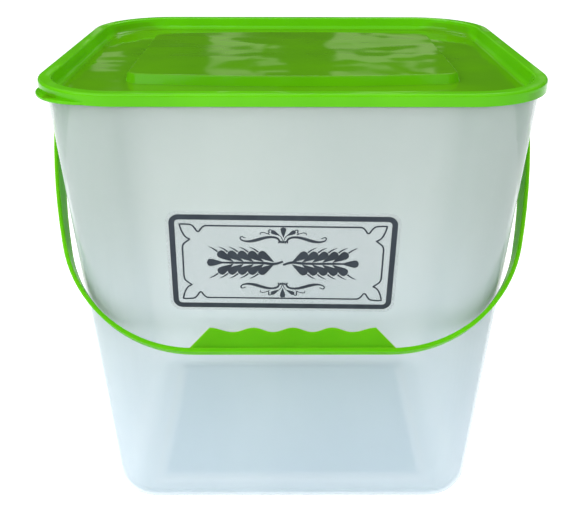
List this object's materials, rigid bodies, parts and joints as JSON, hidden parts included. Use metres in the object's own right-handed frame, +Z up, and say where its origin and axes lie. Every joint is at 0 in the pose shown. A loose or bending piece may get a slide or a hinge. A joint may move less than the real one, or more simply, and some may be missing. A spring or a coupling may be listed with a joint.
{
  "type": "food storage container",
  "caption": "Tapered rectangular food tub with rounded corners, a push-on lid with a recessed panel and pull tab, a swinging bail handle with a finger grip, and a printed film.",
  "frame": {"origin": "middle of the flat ring that the tub stands on", "axes": "+Z up, the front with the printed film and the resting handle towards -Y, +X to the right as seen from the front"},
  "size_m": [0.2672, 0.2184, 0.2587],
  "materials": {
    "tub_plastic": "milky translucent polypropylene, smooth",
    "label_film": "clear film with a dark printed frame",
    "lid_plastic": "glossy lime green, slightly translucent",
    "handle_plastic": "glossy lime green"
  },
  "bodies": {
    "tub": {"tub": "tub_plastic", "label_film": "label_film"},
    "lid": {"lid": "lid_plastic"},
    "handle": {"handle": "handle_plastic"}
  },
  "joints": [
    {"name": "lid_lift", "type": "slide", "parent": "tub", "child": "lid", "axis": [0, 0, 1], "range_m": [0, 0.12]},
    {"name": "handle_swing", "type": "hinge", "parent": "tub", "child": "handle", "pos_m": [0, 0, 0.24], "axis": [-1, 0, 0], "range_deg": [0, 272.8]}
  ]
}
